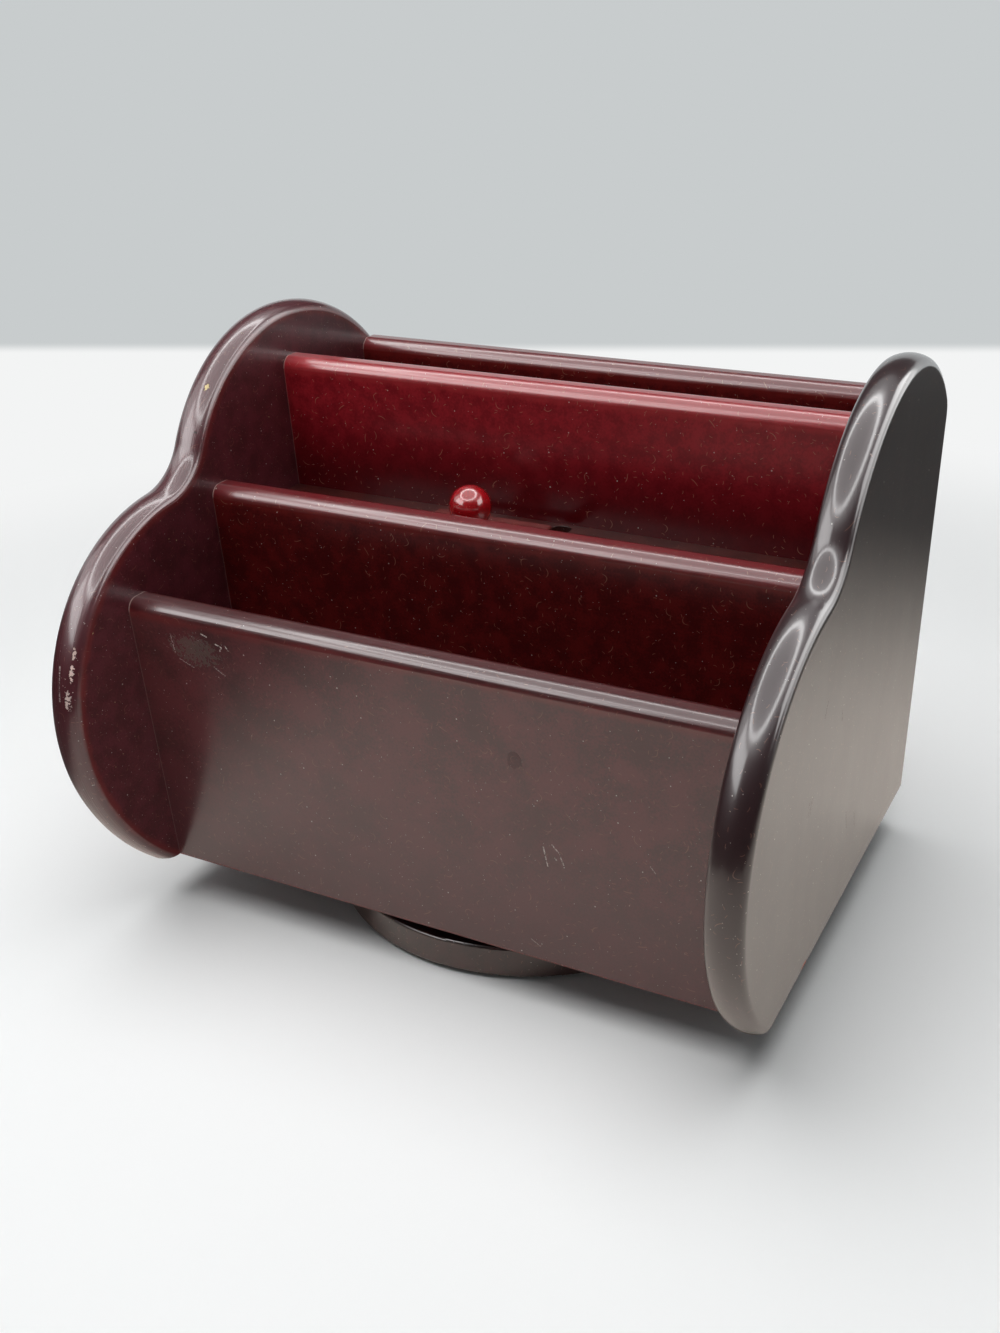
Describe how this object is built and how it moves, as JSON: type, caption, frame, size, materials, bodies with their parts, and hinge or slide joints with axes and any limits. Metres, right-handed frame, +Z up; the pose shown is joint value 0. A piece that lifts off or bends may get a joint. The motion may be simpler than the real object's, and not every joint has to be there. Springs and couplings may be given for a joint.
{
  "type": "rotating desk organizer",
  "caption": "Rotating desk organizer: wavy-sided lacquered rack with upright dividers and a pen shelf with a small lidded well, on a round ball-bearing base.",
  "frame": {"origin": "middle of the base's underside on the turning axis, in the plane of the desk", "axes": "+Z up, +X to the right, -Y towards the low front panel"},
  "size_m": [0.3, 0.2404, 0.243],
  "materials": {
    "mahogany_lacquer": "semi-gloss dark mahogany lacquer on fibreboard, lightly worn",
    "red_knob_lacquer": "high-gloss red lacquer on a turned ball",
    "beech": "bare beech dowel",
    "screw_steel": "yellow zinc-plated steel",
    "turntable_aluminium": "turned aluminium",
    "ball_steel": "polished bearing steel",
    "cage_nylon": "natural nylon",
    "black_felt": "pressed wool felt"
  },
  "bodies": {
    "base": {"base_felt": "black_felt", "base_disc": "mahogany_lacquer", "turntable_bottom_ring": "turntable_aluminium", "bottom_ring_screws": "screw_steel"},
    "carousel": {"left_side_panel": "mahogany_lacquer", "right_side_panel": "mahogany_lacquer", "front_panel": "mahogany_lacquer", "middle_divider": "mahogany_lacquer", "rear_divider": "mahogany_lacquer", "back_panel": "mahogany_lacquer", "floor_panel": "mahogany_lacquer", "pen_shelf": "mahogany_lacquer", "well_left_wall": "mahogany_lacquer", "well_right_wall": "mahogany_lacquer", "well_floor": "mahogany_lacquer", "panel_dowels": "beech", "divider_screws": "screw_steel", "turntable_top_ring": "turntable_aluminium", "top_ring_screws": "screw_steel"},
    "cage": {"ball_cage": "cage_nylon", "bearing_balls": "ball_steel"},
    "lid": {"lid_plate": "mahogany_lacquer", "lid_cleat": "mahogany_lacquer", "lid_knob": "red_knob_lacquer", "knob_screw": "screw_steel"}
  },
  "joints": [
    {"name": "carousel_spin", "type": "hinge", "parent": "base", "child": "carousel", "pos_m": [0, 0, 0.021], "axis": [0, 0, 1], "continuous": true},
    {"name": "cage_spin", "type": "hinge", "parent": "base", "child": "cage", "pos_m": [0, 0, 0.021], "axis": [0, 0, 1], "continuous": true},
    {"name": "lid_lift", "type": "slide", "parent": "carousel", "child": "lid", "axis": [0, 0, 1], "range_m": [0, 0.1]}
  ],
  "couplings": [
    {"joint": "cage_spin", "follows": "carousel_spin", "ratio": 0.5}
  ]
}
